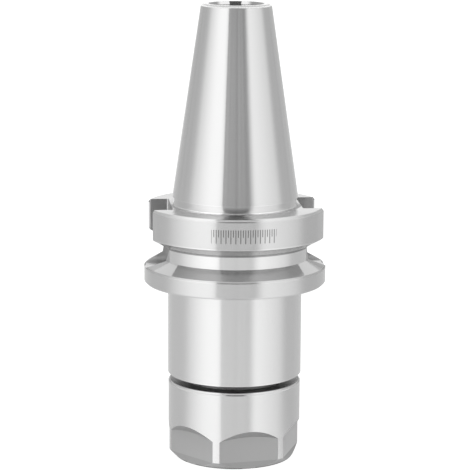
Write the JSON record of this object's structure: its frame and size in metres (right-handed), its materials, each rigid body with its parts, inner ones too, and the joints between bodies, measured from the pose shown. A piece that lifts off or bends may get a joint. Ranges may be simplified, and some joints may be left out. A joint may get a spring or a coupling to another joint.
{
  "type": "collet chuck holder",
  "caption": "Steep-taper V-flange tool holder with drive slots, a spring collet and a hexagon clamping nut.",
  "frame": {"origin": "on the axis at the gauge plane, where the taper is 31.75 mm in diameter", "axes": "+Z along the axis towards the taper's small end, +X out through one drive slot, the nut's face down"},
  "size_m": [0.046, 0.046, 0.1156],
  "materials": {
    "holder_steel": "fine ground and turned",
    "nut_steel": "fine turned, milled flats",
    "collet_steel": "ground"
  },
  "bodies": {
    "holder": {"holder_body": "holder_steel"},
    "collet": {"collet": "collet_steel"},
    "nut": {"clamping_nut": "nut_steel"}
  },
  "joints": [
    {"name": "collet_travel", "type": "slide", "parent": "holder", "child": "collet", "axis": [0, 0, -1], "range_m": [0, 0.0121]},
    {"name": "nut_turn", "type": "hinge", "parent": "collet", "child": "nut", "pos_m": [0, 0, -0.0572], "axis": [0, 0, -1], "range_deg": [0, 2880]}
  ],
  "couplings": [
    {"joint": "collet_travel", "follows": "nut_turn", "m_per_rad": 0.00023873}
  ]
}
